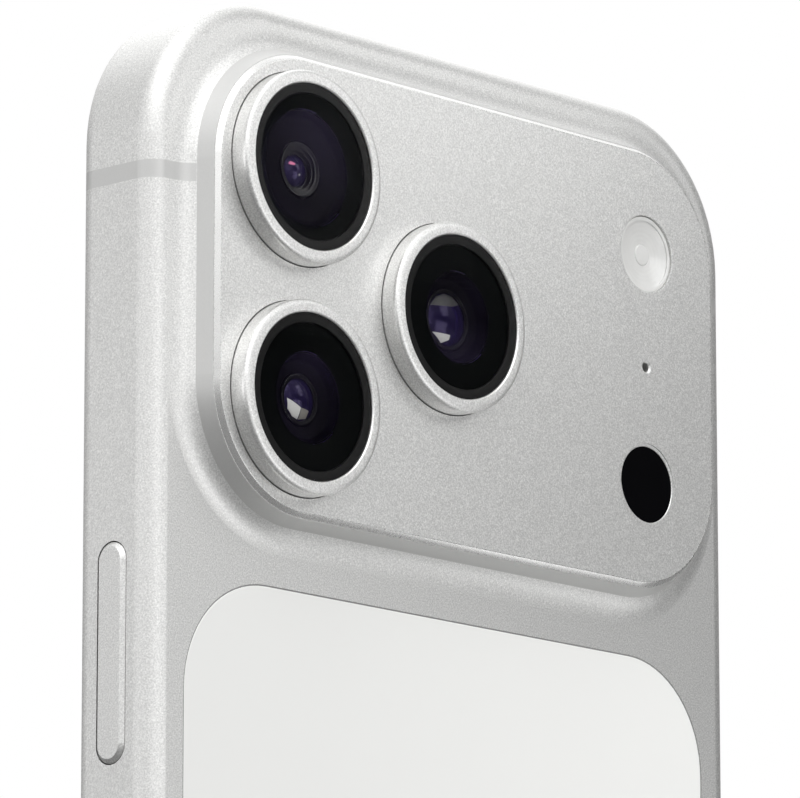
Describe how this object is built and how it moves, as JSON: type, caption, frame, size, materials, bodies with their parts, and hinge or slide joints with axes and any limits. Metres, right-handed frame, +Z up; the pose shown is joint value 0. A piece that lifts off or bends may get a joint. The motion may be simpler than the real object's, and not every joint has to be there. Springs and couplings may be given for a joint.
{
  "type": "smartphone",
  "caption": "Slab smartphone with a metal unibody, matte glass back, raised camera plateau, pressable side keys, card tray and inner parts.",
  "frame": {"origin": "middle of the bottom edge, half way through the greatest depth, camera rings included", "axes": "+Z up the phone's length, -Y out of the screen, +Y out of the back, +X to the side with the side button"},
  "size_m": [0.0724, 0.0132, 0.15],
  "materials": {
    "anodised_aluminium": "bead-blasted satin anodised silver",
    "antenna_plastic": "matte moulded light grey",
    "rear_glass_matte": "etched matte white",
    "front_glass_clear": "polished clear",
    "key_sapphire": "polished, silver backed",
    "camera_sapphire": "polished, coated",
    "sensor_glass": "polished black",
    "lens_glass": "coated, violet reflection",
    "flash_clear": "moulded frosted",
    "flash_board": "phosphor yellow on white",
    "mask_black": "glossy black print",
    "black_plastic": "matte black",
    "display_black": "deep black",
    "black_metal": "black",
    "steel": "satin",
    "steel_mesh": "fine woven",
    "dense_metal": "ground",
    "contact_gold": "plated contacts on black",
    "copper": "bright copper",
    "ferrite": "dull dark grey",
    "battery_case": "dark coated",
    "circuit_board": "dark solder mask",
    "flex_film": "amber film"
  },
  "bodies": {
    "phone": {"antenna_band": "antenna_plastic", "battery": "battery_case", "board_screws": "steel", "board_shields": "steel", "bottom_screws": "steel", "camera_baffles": "black_plastic", "camera_bodies": "black_metal", "camera_bracket": "steel", "camera_glass_lower": "camera_sapphire", "camera_glass_side": "camera_sapphire", "camera_glass_upper": "camera_sapphire", "camera_masks": "mask_black", "camera_ring_lower": "anodised_aluminium", "camera_ring_side": "anodised_aluminium", "camera_ring_upper": "anodised_aluminium", "card_reader": "steel", "charging_coil": "copper", "coil_ferrite": "ferrite", "depth_sensor": "black_plastic", "depth_sensor_window": "sensor_glass", "display_frame": "black_plastic", "display_panel": "display_black", "earpiece_mesh": "steel_mesh", "earpiece_speaker": "black_plastic", "face_sensor": "black_plastic", "flash_lamp": "flash_board", "flash_lens": "flash_clear", "flex_cables": "flex_film", "front_camera": "black_plastic", "front_camera_lens": "lens_glass", "front_glass": "front_glass_clear", "haptic_case": "steel", "holding_magnets": "ferrite", "housing": "anodised_aluminium", "key_switches": "steel", "logic_board": "circuit_board", "loudspeaker": "black_plastic", "lower_antenna_breaks": "antenna_plastic", "plateau_plate": "anodised_aluminium", "port_shell": "steel", "port_tongue": "contact_gold", "rear_glass": "rear_glass_matte", "rear_microphone": "steel_mesh", "sound_meshes": "steel_mesh", "vapor_chamber": "copper"},
    "side_button": {"side_button": "anodised_aluminium"},
    "camera_key": {"camera_key": "key_sapphire"},
    "volume_up_button": {"volume_up_button": "anodised_aluminium"},
    "volume_down_button": {"volume_down_button": "anodised_aluminium"},
    "action_button": {"action_button": "anodised_aluminium"},
    "card_tray": {"card_tray": "anodised_aluminium"},
    "haptic_weight": {"haptic_weight": "dense_metal"},
    "speaker_diaphragm": {"speaker_diaphragm": "black_plastic"},
    "upper_lens_carrier": {"lens_barrel_upper": "black_plastic", "lens_upper": "lens_glass"},
    "lower_lens_carrier": {"lens_barrel_lower": "black_plastic", "lens_lower": "lens_glass"},
    "side_lens_carrier": {"lens_barrel_side": "black_plastic", "lens_side": "lens_glass"}
  },
  "joints": [
    {"name": "side_button_press", "type": "slide", "parent": "phone", "child": "side_button", "axis": [-1, 0, 0], "range_m": [0, 0.00025], "stiffness_N_per_m": 3200},
    {"name": "camera_key_press", "type": "slide", "parent": "phone", "child": "camera_key", "axis": [-1, 0, 0], "range_m": [0, 0.00015], "stiffness_N_per_m": 4000},
    {"name": "volume_up_button_press", "type": "slide", "parent": "phone", "child": "volume_up_button", "axis": [1, 0, 0], "range_m": [0, 0.00025], "stiffness_N_per_m": 3200},
    {"name": "volume_down_button_press", "type": "slide", "parent": "phone", "child": "volume_down_button", "axis": [1, 0, 0], "range_m": [0, 0.00025], "stiffness_N_per_m": 3200},
    {"name": "action_button_press", "type": "slide", "parent": "phone", "child": "action_button", "axis": [1, 0, 0], "range_m": [0, 0.00025], "stiffness_N_per_m": 3200},
    {"name": "card_tray_slide", "type": "slide", "parent": "phone", "child": "card_tray", "axis": [-1, 0, 0], "range_m": [0, 0.015]},
    {"name": "haptic_slide", "type": "slide", "parent": "phone", "child": "haptic_weight", "axis": [1, 0, 0], "range_m": [-0.0008, 0.0008], "stiffness_N_per_m": 400},
    {"name": "speaker_diaphragm_stroke", "type": "slide", "parent": "phone", "child": "speaker_diaphragm", "axis": [0, 1, 0], "range_m": [-0.0002, 0.0002], "stiffness_N_per_m": 200},
    {"name": "upper_lens_focus", "type": "slide", "parent": "phone", "child": "upper_lens_carrier", "axis": [0, 1, 0], "range_m": [0, 0.00025], "stiffness_N_per_m": 60},
    {"name": "lower_lens_focus", "type": "slide", "parent": "phone", "child": "lower_lens_carrier", "axis": [0, 1, 0], "range_m": [0, 0.00025], "stiffness_N_per_m": 60},
    {"name": "side_lens_focus", "type": "slide", "parent": "phone", "child": "side_lens_carrier", "axis": [0, 1, 0], "range_m": [0, 0.00025], "stiffness_N_per_m": 60}
  ]
}
